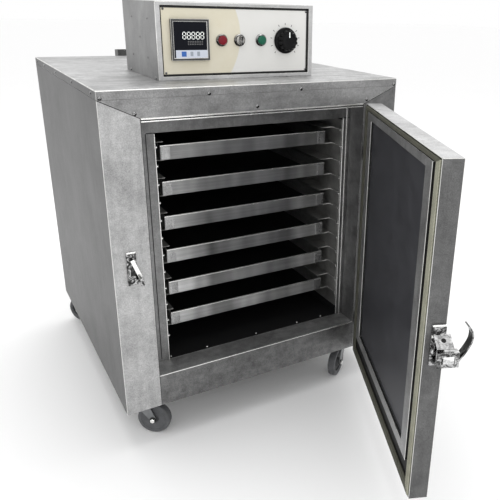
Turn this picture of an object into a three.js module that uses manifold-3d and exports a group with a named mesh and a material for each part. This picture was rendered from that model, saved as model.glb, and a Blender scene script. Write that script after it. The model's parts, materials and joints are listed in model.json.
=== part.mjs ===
// Tray dryer: an insulated sheet-metal cabinet on four swivel castors, with a hinged front door
// standing open, six sliding trays on runner racks, a rear fan and heater plenum, and a control
// console on the lid. Millimetres, +Z up. The cabinet is drawn from its own corner: x from its
// left side, y from its front face towards the back, z from its underside.

import * as THREE from 'three';
import { mergeVertices } from 'three/addons/utils/BufferGeometryUtils.js';
import Module from 'manifold-3d';

const wasm = await Module();
wasm.setup();

// ---------------------------------------------------------------- driving dimensions
const WIDTH = 800;
const DEPTH = 827;
const HEIGHT = 820;
const CASTOR_HEIGHT = 112;
const SHEET = 2;
const GAP = 0.4;
const INSIDE = SHEET + GAP;

const LID_FLANGE = 20;
const OPENING = { left: 90, right: 694, bottom: 90, top: 756 };
const RECESS = 66;
const SEAT = { left: 139, right: 673, bottom: 90, top: 708, outset: 50, y: RECESS + GAP };

const LINER = { left: 127, right: 685, bottom: 85, top: 717, front: 69, back: 640, wall: 1.5 };
const DUCT_WALL_Y = 612;
const INSULATION_BACK = 700;

const RUNNERS = { count: 12, lowest: 162, pitch: 46.5, front: 80, ledge: 124, back: 608, reach: 42, bead: 4, face: 6 };
const TRAY = { left: 165, right: 648, front: 118, depth: 480, height: 37, count: 6 };

const FAN = { x: 406, z: 400, radius: 62, blades: 8, front: 618, back: 634, shaft: 5 };
const MOTOR = { radius: 44, front: 704, back: 796, flange: 60 };
const HEATER = { radius: 150, tube: 4.5, y: 627, tail: 712, halfGap: 0.35 };
const PROBE = { x: 400, y: 560, radius: 3, tip: 688, top: 806 };

const EXHAUST = { left: 258, right: 342, depth: 40, bottom: 640, top: 838, port: 60 };
const DAMPER_Z = 790;

const DOOR = { left: 86, right: 700, top: 760, thickness: 38, gap: 8, rim: 4.5, openAngle: 67 };
const HINGE = { x: 706, y: -20, knuckle: 5, pin: 2.5, leaf: 2.4, length: 90, upper: 600, lower: 70 };
const GASKET = { margin: 4, side: 22, topWidth: 9, thickness: 7.6 };
const TRIM = { side: 41, top: 15, bottom: 70, face: 38, topFace: 19, bottomFace: 26, raise: 7.6 };

const LATCH = { z: 340, height: 91, inner: 8, outer: 38, plate: 3, pivotU: 11, pivotN: 24 };
const LEVER = { bottom: 357, top: 389, wall: 3, reach: 29, inner: -14, outer: 31 };
const KEEPER = { left: 31, right: 55, bottom: 362, top: 446, plate: 3, tongue: 64, depth: 26 };

const CONSOLE = { left: 175, right: 600, front: 122, back: 400, height: 180 };
const CONSOLE_LIP = 12;
const CONTROLLER = { x: 257, z: 94.5, size: 96, body: 90 };
const BUTTON_Z = 93.5;
const RED_X = 340;
const SELECTOR_X = 388;
const GREEN_X = 448;
const PUSH = { bezel: 15, cap: 11, bore: 11.4 };
const KNOB = { x: 519, z: 92, radius: 33, depth: 24, shaft: 4 };

const WHEEL = { radius: 45, width: 24, axle: 4, trail: 30 };
const CASTORS = [
  { name: 'front_left', x: 58, y: 69, heading: -36 },
  { name: 'front_right', x: 690, y: 60, heading: -144 },
  { name: 'rear_left', x: 58, y: 770, heading: 127 },
  { name: 'rear_right', x: 690, y: 770, heading: 60 },
];

// ---------------------------------------------------------------- materials
const finish = (color, roughness, metalness) =>
  new THREE.MeshStandardMaterial({ color, roughness, metalness });
const STEEL = finish(0x9a9a98, 0.45, 0.9);
const TRAY_STEEL = finish(0xa8a49c, 0.3, 0.95);
const LINER_STEEL = finish(0x1b1c1e, 0.6, 0.5);
const RACK_STEEL = finish(0x4a4a4a, 0.5, 0.7);
const INNER_PANEL = finish(0x2c2e31, 0.15, 0.8);
const WOOL = finish(0xc2ad6e, 1, 0);
const ROPE = finish(0xc9c4ae, 0.95, 0);
const CHROME = finish(0xd0d0d0, 0.12, 1);
const CREAM = finish(0xeee6cf, 0.4, 0);
const BLACK = finish(0x141414, 0.35, 0);
const RED = finish(0xb01f2a, 0.3, 0);
const GREEN = finish(0x1f8a57, 0.3, 0);
const RUBBER = finish(0x55585a, 0.8, 0);
const CAST = finish(0x6a6c70, 0.5, 0.6);

// ---------------------------------------------------------------- shape helpers
function toSolid(geometry) {
  const bare = geometry.clone();
  bare.deleteAttribute('normal');
  bare.deleteAttribute('uv');
  const merged = mergeVertices(bare, 1e-4);
  return new wasm.Manifold(new wasm.Mesh({
    numProp: 3,
    vertProperties: new Float32Array(merged.attributes.position.array),
    triVerts: new Uint32Array(merged.index.array),
  }));
}

function toGeometry(solid) {
  const mesh = solid.getMesh();
  const geometry = new THREE.BufferGeometry();
  geometry.setAttribute('position', new THREE.BufferAttribute(mesh.vertProperties, 3));
  geometry.setIndex(new THREE.BufferAttribute(mesh.triVerts, 1));
  geometry.computeVertexNormals();
  return geometry;
}

const join = (first, ...rest) =>
  toGeometry(rest.reduce((all, piece) => all.add(toSolid(piece)), toSolid(first)));
const cut = (body, ...tools) =>
  toGeometry(tools.reduce((left, tool) => left.subtract(toSolid(tool)), toSolid(body)));

function box(x0, x1, y0, y1, z0, z1) {
  const geometry = new THREE.BoxGeometry(x1 - x0, y1 - y0, z1 - z0);
  return geometry.translate((x0 + x1) / 2, (y0 + y1) / 2, (z0 + z1) / 2);
}

// A round bar along one axis, centred on the other two.
function bar(axis, radius, from, to, a, b, sides = 24) {
  const geometry = new THREE.CylinderGeometry(radius, radius, to - from, sides);
  const middle = (from + to) / 2;
  if (axis === 'y') return geometry.translate(a, middle, b);
  if (axis === 'z') return geometry.rotateX(Math.PI / 2).translate(a, b, middle);
  return geometry.rotateZ(-Math.PI / 2).translate(middle, a, b);
}

const outline = (points) => new THREE.Shape(points.map(([a, b]) => new THREE.Vector2(a, b)));

// A flat outline drawn in x and z, thickened along y.
function plateXZ(points, y0, y1) {
  const plate = new THREE.ExtrudeGeometry(outline(points), { depth: y1 - y0, bevelEnabled: false });
  return plate.rotateX(Math.PI / 2).translate(0, y1, 0);
}

// A flat outline drawn in x and y, thickened along z.
function plateXY(points, z0, z1) {
  const plate = new THREE.ExtrudeGeometry(outline(points), { depth: z1 - z0, bevelEnabled: false });
  return plate.translate(0, 0, z0);
}

// ---------------------------------------------------------------- assembly
const dryer = new THREE.Group();
const cabinet = new THREE.Group();
cabinet.position.set(-WIDTH / 2, 0, CASTOR_HEIGHT);
dryer.add(cabinet);

function add(name, geometry, material, parent = cabinet) {
  const mesh = new THREE.Mesh(geometry, material);
  mesh.name = name;
  parent.add(mesh);
  return mesh;
}

// ---------------------------------------------------------------- cabinet shell
function basePanel() {
  const pad = 32;
  const race = 20;
  const bore = 6.4;
  const pads = CASTORS.flatMap(({ x, y }) => [
    box(x - pad, x + pad, y - pad, y + pad, -5, 1),
    bar('z', race, -12, -4, x, y),
  ]);
  const bores = CASTORS.map(({ x, y }) => bar('z', bore, -13, -2, x, y, 16));
  const sheet = box(INSIDE, WIDTH - INSIDE, INSIDE, DEPTH - INSIDE, 0, SHEET);
  return cut(join(sheet, ...pads), ...bores);
}

function backPanel() {
  const louvres = [];
  for (let row = 0; row < 6; row += 1) {
    louvres.push(box(480, 720, DEPTH - 5, DEPTH + 2, 90 + row * 26, 98 + row * 26));
  }
  const duct = EXHAUST;
  const port = box(duct.left + 6, duct.right - 6, DEPTH - 5, DEPTH + 2, duct.bottom + 6, duct.bottom + duct.port);
  const sheet = box(INSIDE, WIDTH - INSIDE, DEPTH - SHEET, DEPTH, 0, HEIGHT - LID_FLANGE - GAP);
  return cut(sheet, ...louvres, port);
}

function lid() {
  const underside = HEIGHT - LID_FLANGE;
  const shell = box(0, WIDTH, 0, DEPTH, underside, HEIGHT);
  return cut(shell, box(SHEET, WIDTH - SHEET, SHEET, DEPTH - SHEET, underside - 1, HEIGHT - SHEET));
}

function shell() {
  const wallTop = HEIGHT - LID_FLANGE - GAP;
  add('base_panel', basePanel(), STEEL);
  add('left_side_panel', box(0, SHEET, INSIDE, DEPTH, 0, wallTop), STEEL);
  add('right_side_panel', box(WIDTH - SHEET, WIDTH, INSIDE, DEPTH, 0, wallTop), STEEL);
  add('back_panel', backPanel(), STEEL);
  add('lid', lid(), STEEL);

  const { left, right, bottom, top } = OPENING;
  const header = plateXZ([[left, top], [right, top], [WIDTH, wallTop], [0, wallTop]], 0, SHEET);
  const headerReturn = box(left + INSIDE, right - INSIDE, 0, RECESS, top, top + SHEET);
  add('header', join(header, headerReturn), STEEL);

  const leftFace = plateXZ([[0, 0], [left, 0], [left, top - GAP], [0, wallTop - GAP]], 0, SHEET);
  const leftReturn = box(left - SHEET, left, 0, RECESS, INSIDE, top - GAP);
  add('left_stile', join(leftFace, leftReturn), STEEL);

  const rightFace = plateXZ([[right, 0], [WIDTH, 0], [WIDTH, wallTop - GAP], [right, top - GAP]], 0, SHEET);
  const rightReturn = box(right, right + SHEET, 0, RECESS, INSIDE, top - GAP);
  add('right_stile', join(rightFace, rightReturn), STEEL);

  const sillFace = box(left + GAP, right - GAP, 0, SHEET, 0, bottom);
  const sillTop = box(left + GAP, right - GAP, 0, RECESS, bottom - SHEET, bottom);
  add('sill', join(sillFace, sillTop), STEEL);

  const seat = SEAT;
  const ring = box(seat.left - seat.outset, seat.right + seat.outset, seat.y, seat.y + SHEET,
    seat.bottom - seat.outset, seat.top + seat.outset);
  const hole = box(seat.left, seat.right, seat.y - 1, seat.y + SHEET + 1, seat.bottom, seat.top);
  add('door_seat_frame', cut(ring, hole), STEEL);
}

// ---------------------------------------------------------------- drying chamber
function heaterPath() {
  const points = [];
  const start = -Math.PI / 2 + HEATER.halfGap;
  const sweep = Math.PI * 2 - HEATER.halfGap * 2;
  const steps = 24;
  for (let i = 0; i <= steps; i += 1) {
    const angle = start + (sweep * i) / steps;
    const x = FAN.x + HEATER.radius * Math.cos(angle);
    const z = FAN.z + HEATER.radius * Math.sin(angle);
    points.push(new THREE.Vector3(x, HEATER.y, z));
  }
  const ends = [points[0], points[steps]].map((p) => new THREE.Vector3(p.x, HEATER.tail, p.z));
  return [ends[0], ...points, ends[1]];
}

function heaterElement() {
  const [tailA, ...rest] = heaterPath();
  const tailB = rest.pop();
  const arc = new THREE.CatmullRomCurve3(rest);
  const section = new THREE.Shape().absarc(0, 0, HEATER.tube, 0, Math.PI * 2);
  const ring = new THREE.ExtrudeGeometry(section, { extrudePath: arc, steps: 36, curveSegments: 4 });
  const overlap = 4;
  const leg = (tail) => bar('y', HEATER.tube, HEATER.y - overlap, HEATER.tail, tail.x, tail.z, 10);
  return join(ring, leg(tailA), leg(tailB));
}

function circulationFan() {
  const hub = bar('y', 16, FAN.front, FAN.back, FAN.x, FAN.z, 20);
  const disc = bar('y', FAN.radius, FAN.back - 2, FAN.back, FAN.x, FAN.z, 32);
  const shaft = bar('y', FAN.shaft, FAN.back - 1, MOTOR.front + 18, FAN.x, FAN.z, 16);
  const blades = [];
  for (let i = 0; i < FAN.blades; i += 1) {
    const blade = box(14, FAN.radius - 2, FAN.front + 1, FAN.back - 1, -1, 1);
    blade.rotateY((i * Math.PI * 2) / FAN.blades).translate(FAN.x, 0, FAN.z);
    blades.push(blade);
  }
  return join(disc, hub, shaft, ...blades);
}

function fanMotor() {
  const { radius, front, back, flange } = MOTOR;
  const plate = box(FAN.x - flange, FAN.x + flange, front, front + 4, FAN.z - flange, FAN.z + flange);
  const body = bar('y', radius, front + 3, back, FAN.x, FAN.z, 32);
  const cap = bar('y', radius - 10, back - 1, back + 10, FAN.x, FAN.z, 24);
  const bore = bar('y', FAN.shaft + 0.6, front - 1, front + 20, FAN.x, FAN.z, 16);
  return cut(join(plate, body, cap), bore);
}

function insulationJacket() {
  const outer = box(3, WIDTH - 3, LINER.front, INSULATION_BACK, 3, HEIGHT - 8);
  const hollow = box(LINER.left - GAP, LINER.right + GAP, LINER.front - 1, LINER.back + 3,
    LINER.bottom - GAP, LINER.top + GAP);
  const shaftHole = bar('y', FAN.shaft + 4, LINER.back, INSULATION_BACK + 1, FAN.x, FAN.z, 16);
  return cut(outer, hollow, shaftHole, ...heaterHoles(LINER.back, INSULATION_BACK + 1), probeHole());
}

const heaterHoles = (from, to) => {
  const path = heaterPath();
  return [path[0], path[path.length - 1]].map((p) => bar('y', HEATER.tube + 1.5, from, to, p.x, p.z, 12));
};

const probeHole = () =>
  bar('z', PROBE.radius + 1, LINER.top - 10, HEIGHT, PROBE.x, PROBE.y, 12);

function chamberLiner() {
  const { left, right, bottom, top, front, back, wall } = LINER;
  const outer = box(left, right, front, back, bottom, top);
  const inner = box(left + wall, right - wall, front - 1, back + 1, bottom + wall, top - wall);
  return cut(outer, inner, probeHole());
}

function chamberBackWall() {
  const sheet = box(LINER.left + 1, LINER.right - 1, LINER.back + GAP, LINER.back + GAP + SHEET,
    LINER.bottom + 1, LINER.top - 1);
  const shaftHole = bar('y', FAN.shaft + 2, LINER.back, LINER.back + 5, FAN.x, FAN.z, 16);
  return cut(sheet, shaftHole, ...heaterHoles(LINER.back, LINER.back + 5));
}

function airDuctWall() {
  const side = LINER.wall + GAP;
  const sheet = box(LINER.left + side, LINER.right - side, DUCT_WALL_Y, DUCT_WALL_Y + SHEET,
    LINER.bottom + side, LINER.top - side);
  const slots = [];
  for (const x of [LINER.left + 16, LINER.right - 16 - 14]) {
    for (let row = 0; row < 6; row += 1) {
      const z = 120 + row * 96;
      slots.push(box(x, x + 14, DUCT_WALL_Y - 1, DUCT_WALL_Y + 4, z, z + 76));
    }
  }
  return cut(sheet, bar('y', 60, DUCT_WALL_Y - 1, DUCT_WALL_Y + 4, FAN.x, FAN.z, 32), ...slots);
}

// An upright sheet with a ledge for every tray position, which narrows to a bead at the front.
// side is +1 for the left rack.
function runnerRack(side) {
  const { count, lowest, pitch, front, ledge, back, reach, bead, face } = RUNNERS;
  const wallX = side > 0 ? LINER.left + face : LINER.right - face;
  const span = (from, to) => [Math.min(wallX + side * from, wallX + side * to),
    Math.max(wallX + side * from, wallX + side * to)];
  const [sheetA, sheetB] = span(-SHEET, 0);
  const [ledgeA, ledgeB] = span(-1, reach);
  const [beadA, beadB] = span(-1, bead);
  const top = lowest + pitch * (count - 1) + 26;
  const pieces = [];
  for (let level = 0; level < count; level += 1) {
    const z = lowest + level * pitch;
    pieces.push(box(ledgeA, ledgeB, ledge, back, z - SHEET, z));
    pieces.push(box(beadA, beadB, front, ledge + 1, z - SHEET, z));
  }
  return join(box(sheetA, sheetB, front, back, lowest - 50, top), ...pieces);
}

function tray(index) {
  const z = RUNNERS.lowest + index * 2 * RUNNERS.pitch + GAP;
  const { left, right, front, depth, height } = TRAY;
  const pan = box(left, right, front, front + depth, z, z + height);
  return cut(pan, box(left + SHEET, right - SHEET, front + SHEET, front + depth - SHEET,
    z + SHEET, z + height + 1));
}

function temperatureProbe() {
  const head = bar('z', 8, PROBE.top - 12, PROBE.top, PROBE.x, PROBE.y, 6);
  return join(bar('z', PROBE.radius, PROBE.tip, PROBE.top - 6, PROBE.x, PROBE.y, 12), head);
}

function chamber() {
  add('chamber_liner', chamberLiner(), LINER_STEEL);
  add('chamber_back_wall', chamberBackWall(), LINER_STEEL);
  add('air_duct_wall', airDuctWall(), LINER_STEEL);
  add('insulation_jacket', cut(insulationJacket(), probeHeadPocket()), WOOL);
  add('left_runner_rack', runnerRack(1), RACK_STEEL);
  add('right_runner_rack', runnerRack(-1), RACK_STEEL);
  for (let index = 0; index < TRAY.count; index += 1) {
    add(`tray_${TRAY.count - index}`, tray(index), TRAY_STEEL);
  }
  add('circulation_fan', circulationFan(), CAST);
  add('fan_motor', fanMotor(), CAST);
  add('heater_element', heaterElement(), RACK_STEEL);
  add('temperature_probe', temperatureProbe(), CHROME);
}

const probeHeadPocket = () => bar('z', 12, PROBE.top - 14, HEIGHT, PROBE.x, PROBE.y, 16);

// ---------------------------------------------------------------- exhaust at the back
function exhaust() {
  const { left, right, depth, bottom, top, port } = EXHAUST;
  const front = DEPTH + GAP;
  const back = DEPTH + depth;
  const tube = box(left, right, front, back, bottom, top);
  const inside = box(left + SHEET, right - SHEET, front + SHEET, back - SHEET, bottom + SHEET, top + 1);
  const mouth = box(left + 8, right - 8, front - 1, front + 5, bottom + 8, bottom + port - 2);
  const middle = (front + back) / 2;
  const axleHole = bar('x', 3.6, left - 2, right + 2, middle, DAMPER_Z, 16);
  add('exhaust_duct', cut(tube, inside, mouth, axleHole), STEEL);

  const flap = box(left + SHEET + 2, right - SHEET - 2, front + SHEET + 2, back - SHEET - 2,
    DAMPER_Z - 1, DAMPER_Z + 1);
  const axle = bar('x', 3, left - 10, right + 4, middle, DAMPER_Z, 16);
  const handle = box(left - 12, left - 8, middle - 4, middle + 14, DAMPER_Z - 4, DAMPER_Z + 4);
  add('exhaust_damper', join(flap, axle, handle), CHROME);
}

// ---------------------------------------------------------------- door, drawn closed
// Inner face at y = -gap, outer face further out. The group turns it about its hinge pins.
const doorPivot = new THREE.Group();
doorPivot.position.set(HINGE.x, HINGE.y, 0);
doorPivot.rotation.z = THREE.MathUtils.degToRad(DOOR.openAngle);
cabinet.add(doorPivot);
const door = new THREE.Group();
door.position.set(-HINGE.x, -HINGE.y, 0);
doorPivot.add(door);

const DOOR_INNER = -DOOR.gap;
const DOOR_OUTER = DOOR_INNER - DOOR.thickness;

function frameXZ(outer, inner, y0, y1) {
  const body = box(outer.left, outer.right, y0, y1, outer.bottom, outer.top);
  return cut(body, box(inner.left, inner.right, y0 - 1, y1 + 1, inner.bottom, inner.top));
}

function doorLeaf() {
  const { left, right, top } = DOOR;
  const pan = box(left, right, DOOR_OUTER, DOOR_INNER + DOOR.rim, 0, top);
  const pocket = box(left + SHEET, right - SHEET, DOOR_OUTER + SHEET, DOOR_INNER + DOOR.rim + 1, SHEET, top - SHEET);
  add('door_outer_pan', cut(pan, pocket), STEEL, door);

  const inset = SHEET + GAP;
  const innerFront = DOOR_INNER - SHEET - GAP;
  add('door_inner_pan',
    box(left + inset, right - inset, innerFront, DOOR_INNER - GAP, inset, top - inset), STEEL, door);
  add('door_insulation', box(left + inset, right - inset, DOOR_OUTER + inset, innerFront - GAP,
    inset, top - inset), WOOL, door);

  const seal = GASKET;
  const sealOuter = { left: left + seal.margin, right: right - seal.margin,
    bottom: seal.margin, top: top - seal.margin };
  const sealInner = { left: sealOuter.left + seal.side, right: sealOuter.right - seal.side,
    bottom: sealOuter.bottom + seal.side, top: sealOuter.top - seal.topWidth };
  add('door_gasket', frameXZ(sealOuter, sealInner, DOOR_INNER + GAP, DOOR_INNER + seal.thickness), ROPE, door);

  const trim = TRIM;
  const trimOuter = { left: left + trim.side, right: right - trim.side, bottom: trim.bottom, top: top - trim.top };
  const trimInner = { left: trimOuter.left + trim.face, right: trimOuter.right - trim.face,
    bottom: trimOuter.bottom + trim.bottomFace, top: trimOuter.top - trim.topFace };
  add('door_trim_frame', frameXZ(trimOuter, trimInner, DOOR_INNER + GAP, DOOR_INNER + trim.raise), STEEL, door);
  add('door_inner_panel', box(trimInner.left + GAP, trimInner.right - GAP, DOOR_INNER + GAP,
    DOOR_INNER + GAP + 1, trimInner.bottom + GAP, trimInner.top - GAP), INNER_PANEL, door);
}

// ---------------------------------------------------------------- hinges
function hinge(name, z) {
  const { x, y, knuckle, pin, leaf, length } = HINGE;
  const half = z + length / 2;
  const barrel = bar('z', knuckle, z, half - GAP, x, y, 20);
  const pinBar = bar('z', pin, z + 1, z + length + 4, x, y, 16);
  const plate = box(x + 6, x + 40, -leaf - GAP, -GAP, z, z + length);
  const web = plateXY([[x, y - 2.4], [x + 2.4, y], [x + 13, -leaf], [x + 13, -GAP], [x + 9, -GAP], [x - 2, y]],
    z, half - GAP);
  add(`${name}_hinge_frame_leaf`, join(barrel, pinBar, plate, web), CAST);

  const sleeve = bar('z', knuckle, half, z + length, x, y, 20);
  const doorPlate = box(DOOR.right + GAP, DOOR.right + GAP + leaf, DOOR_OUTER + 2, DOOR_INNER - 2, z, z + length);
  const neck = box(DOOR.right + GAP, x, y - 3, y + 3, half, z + length);
  const bore = bar('z', pin + 0.5, half - 1, z + length + 1, x, y, 16);
  const knuckleRoom = bar('z', knuckle + 0.5, z - 1, half, x, y, 20);
  add(`${name}_hinge_door_leaf`, cut(join(doorPlate, sleeve, neck), bore, knuckleRoom), CAST, door);
}

// ---------------------------------------------------------------- lever latch and its keeper
// Drawn on the door's free end: u runs outwards from that end face, n from the inner face out.
const endX = (u) => DOOR.left - u;
const endY = (n) => DOOR_INNER - n;

function latchBase() {
  const { z, height, inner, outer, plate, pivotU, pivotN } = LATCH;
  const sheet = box(endX(plate), endX(GAP), endY(outer), endY(inner), z, z + height);
  const lug = (z0, z1) => box(endX(pivotU + 7), endX(plate - 1), endY(pivotN + 7), endY(pivotN - 7), z0, z1);
  const pin = bar('z', 2.6, LEVER.bottom - 5, LEVER.top + 5, endX(pivotU), endY(pivotN), 16);
  return join(sheet, lug(LEVER.bottom - 7, LEVER.bottom - 3), lug(LEVER.top + 3, LEVER.top + 7), pin);
}

function latchLever() {
  const { bottom, top, wall, reach, inner, outer } = LEVER;
  const pivotX = endX(LATCH.pivotU);
  const pivotY = endY(LATCH.pivotN);
  const at = (u, n) => [pivotX - u, pivotY - n];
  const shape = [at(0, -7), at(reach, inner), at(reach, outer), at(13, outer), at(0, 7), at(-5, 5), at(-5, -5)];
  const plates = [plateXY(shape, bottom, bottom + wall), plateXY(shape, top - wall, top)];
  const endWall = box(pivotX - reach, pivotX - reach + wall, pivotY - outer, pivotY - inner, bottom, top);
  const outerWall = box(pivotX - reach, pivotX - 13, pivotY - outer, pivotY - outer + wall, bottom, top);
  const boss = bar('z', 6, bottom, top, pivotX, pivotY, 20);
  const slot = box(pivotX - reach - 1, pivotX - reach + wall + 1, pivotY - 22, pivotY + 5, bottom + 8, top - 8);
  const bore = bar('z', 3, bottom - 1, top + 1, pivotX, pivotY, 16);
  return cut(join(...plates, endWall, outerWall, boss, grip(pivotX, pivotY)), slot, bore);
}

// The curved finger grip: a flat bar that leaves the box's outer corner and hooks upwards.
function grip(pivotX, pivotY) {
  const rise = new THREE.CatmullRomCurve3([
    new THREE.Vector3(0, -LEVER.outer + 1, LEVER.top - 20),
    new THREE.Vector3(0, -LEVER.outer - 12, LEVER.top),
    new THREE.Vector3(0, -LEVER.outer - 22, LEVER.top + 22),
    new THREE.Vector3(0, -LEVER.outer - 22, LEVER.top + 40),
    new THREE.Vector3(0, -LEVER.outer - 12, LEVER.top + 56),
  ]);
  const steps = 14;
  const halfThickness = 1.5;
  const inner = [];
  const outer = [];
  for (let i = 0; i <= steps; i += 1) {
    const p = rise.getPoint(i / steps);
    const t = rise.getTangent(i / steps);
    inner.push(new THREE.Vector2(p.y - t.z * halfThickness, p.z + t.y * halfThickness));
    outer.unshift(new THREE.Vector2(p.y + t.z * halfThickness, p.z - t.y * halfThickness));
  }
  const width = 20;
  const strip = new THREE.ExtrudeGeometry(new THREE.Shape([...inner, ...outer]),
    { depth: width, bevelEnabled: false });
  strip.applyMatrix4(new THREE.Matrix4().set(0, 0, 1, 0, 1, 0, 0, 0, 0, 1, 0, 0, 0, 0, 0, 1));
  return strip.translate(pivotX - LEVER.reach + 1, pivotY, 0);
}

function latchKeeper() {
  const { left, right, bottom, top, plate, tongue, depth } = KEEPER;
  const foot = box(left, right, -plate - GAP, -GAP, bottom, top);
  const arm = box(right - 1, tongue, -plate - GAP, -GAP, bottom + 4, bottom + 22);
  const upright = box(tongue - 3, tongue, -depth, -GAP, bottom + 4, bottom + 22);
  const hook = box(tongue - 9, tongue, -depth, -depth + 3, bottom + 4, bottom + 22);
  return join(foot, arm, upright, hook);
}

// ---------------------------------------------------------------- control console
const CONSOLE_BASE = HEIGHT + GAP;
const consoleZ = (z) => HEIGHT + z;

function consoleCase() {
  const { left, right, front, back, height } = CONSOLE;
  const top = HEIGHT + height;
  const outer = box(left, right, front, back, CONSOLE_BASE, top);
  const hollow = box(left + SHEET, right - SHEET, front + SHEET, back - SHEET, CONSOLE_BASE + SHEET, top - SHEET);
  const window = box(left + CONSOLE_LIP, right - CONSOLE_LIP, front - 1, front + SHEET + 1,
    CONSOLE_BASE + 9, top - 8);
  const holes = [];
  for (const [y, z] of [[186, 140], [318, 140], [256, 94], [199, 48], [327, 46]]) {
    holes.push(bar('x', 2.6, left - 1, left + 4, y, consoleZ(z), 10));
    holes.push(bar('x', 2.6, right - 4, right + 1, y, consoleZ(z), 10));
  }
  return cut(outer, hollow, window, ...holes);
}

function consoleFacePlate() {
  const { left, right, front, height } = CONSOLE;
  const top = HEIGHT + height;
  const plate = box(left + 15, right - 15, front + 4, front + 9, CONSOLE_BASE + 12, top - 11);
  const flange = box(left + 3, right - 3, front + 7, front + 9, CONSOLE_BASE + 3, top - 3);
  const through = [front, front + 12];
  const window = box(CONTROLLER.x - 46, CONTROLLER.x + 46, ...through,
    consoleZ(CONTROLLER.z - 46), consoleZ(CONTROLLER.z + 46));
  const rounds = [RED_X, SELECTOR_X, GREEN_X].map((x) => bar('y', 12.6, ...through, x, consoleZ(BUTTON_Z)));
  const shaft = bar('y', KNOB.shaft + 1, ...through, KNOB.x, consoleZ(KNOB.z), 16);
  return cut(join(plate, flange), window, ...rounds, shaft);
}

function controllerBox() {
  const { x, z, size, body } = CONTROLLER;
  const half = size / 2;
  const face = CONSOLE.front + 4 - GAP;
  const bezel = box(x - half, x + half, face - 9, face, consoleZ(z - half), consoleZ(z + half));
  const screen = box(x - half + 7, x + half - 7, face - 10, face - 7, consoleZ(z - half + 7), consoleZ(z + half - 7));
  const rear = box(x - body / 2, x + body / 2, face - 1, face + 80, consoleZ(z - body / 2), consoleZ(z + body / 2));
  return cut(join(bezel, rear), screen);
}

function pushButtonBody(x) {
  const face = CONSOLE.front + 4 - GAP;
  const z = consoleZ(BUTTON_Z);
  const bezel = bar('y', PUSH.bezel, face - 6, face, x, z);
  const barrel = bar('y', 12, face - 1, face + 34, x, z);
  const block = box(x - 14, x + 14, face + 12, face + 50, z - 20, z + 20);
  const bore = bar('y', PUSH.bore, face - 8, face + 20, x, z);
  return cut(join(bezel, barrel, block), bore);
}

const pushButtonCap = (x) => {
  const face = CONSOLE.front + 4;
  const z = consoleZ(BUTTON_Z);
  const cap = bar('y', PUSH.cap, face - 12, face + 6, x, z);
  return join(cap, bar('y', 6, face + 5, face + 12, x, z, 16));
};

function selectorKnob() {
  const face = CONSOLE.front + 4;
  const z = consoleZ(BUTTON_Z);
  const disc = bar('y', PUSH.cap, face - 9, face + 10, SELECTOR_X, z);
  const wing = box(SELECTOR_X - 3.5, SELECTOR_X + 3.5, face - 20, face - 8, z - 11, z + 11);
  return join(disc, wing);
}

function regulatorKnob() {
  const face = CONSOLE.front + 4;
  const z = consoleZ(KNOB.z);
  const skirt = bar('y', KNOB.radius, face - 8, face - 1, KNOB.x, z, 36);
  const grip = bar('y', KNOB.radius - 6, face - KNOB.depth - 2, face - 7, KNOB.x, z, 36);
  const shaft = bar('y', KNOB.shaft, face - 2, face + 30, KNOB.x, z, 16);
  return join(skirt, grip, shaft);
}

function powerRegulator() {
  const back = CONSOLE.front + 9 + GAP;
  const z = consoleZ(KNOB.z);
  const drum = bar('y', 36, back, back + 50, KNOB.x, z, 32);
  const terminals = box(KNOB.x - 24, KNOB.x + 24, back + 49, back + 62, z - 12, z + 12);
  const bore = bar('y', KNOB.shaft + 0.8, back - 1, back + 28, KNOB.x, z, 16);
  return cut(join(drum, terminals), bore);
}

function controlConsole() {
  add('console_case', consoleCase(), STEEL);
  add('console_face_plate', consoleFacePlate(), CREAM);
  add('temperature_controller', controllerBox(), BLACK);
  add('red_button_body', pushButtonBody(RED_X), CHROME);
  add('red_button_cap', pushButtonCap(RED_X), RED);
  add('green_button_body', pushButtonBody(GREEN_X), CHROME);
  add('green_button_cap', pushButtonCap(GREEN_X), GREEN);
  add('selector_body', pushButtonBody(SELECTOR_X), CHROME);
  add('selector_switch', selectorKnob(), CHROME);
  add('regulator_knob', regulatorKnob(), BLACK);
  add('power_regulator', powerRegulator(), BLACK);
}

// ---------------------------------------------------------------- castors
// Each is drawn with its kingpin on the z axis and its wheel trailing along +x, then turned.
function fork() {
  const axleZ = WHEEL.radius - CASTOR_HEIGHT;
  const inside = WHEEL.width / 2 + 2;
  const thickness = 3;
  const disc = bar('z', 22, -18, -12.6, 0, 0, 28);
  const kingpin = bar('z', 5.8, -14, -3.2, 0, 0, 16);
  const cheek = [[-18, -18], [20, -18], [WHEEL.trail + 9, axleZ + 4], [WHEEL.trail, axleZ - 9],
    [WHEEL.trail - 9, axleZ]];
  const crown = box(-18, 20, -inside - thickness, inside + thickness, -19, -15);
  const axle = bar('y', WHEEL.axle, -inside - 7, inside + 7, WHEEL.trail, axleZ, 16);
  return join(disc, kingpin, crown, axle, plateXZ(cheek, inside, inside + thickness),
    plateXZ(cheek, -inside - thickness, -inside));
}

function wheel() {
  const half = WHEEL.width / 2;
  const bore = WHEEL.axle + 0.5;
  const profile = [[bore, -half], [14, -half], [15, -half + 4], [30, -half + 4], [32, -half + 1],
    [WHEEL.radius - 3, -half + 1], [WHEEL.radius, -half + 4], [WHEEL.radius, half - 4],
    [WHEEL.radius - 3, half - 1], [32, half - 1], [30, half - 4], [15, half - 4], [14, half], [bore, half],
    [bore, -half]];
  const turned = new THREE.LatheGeometry(profile.map(([r, y]) => new THREE.Vector2(r, y)), 32);
  return turned.translate(WHEEL.trail, 0, 0).translate(0, 0, WHEEL.radius - CASTOR_HEIGHT);
}

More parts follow.
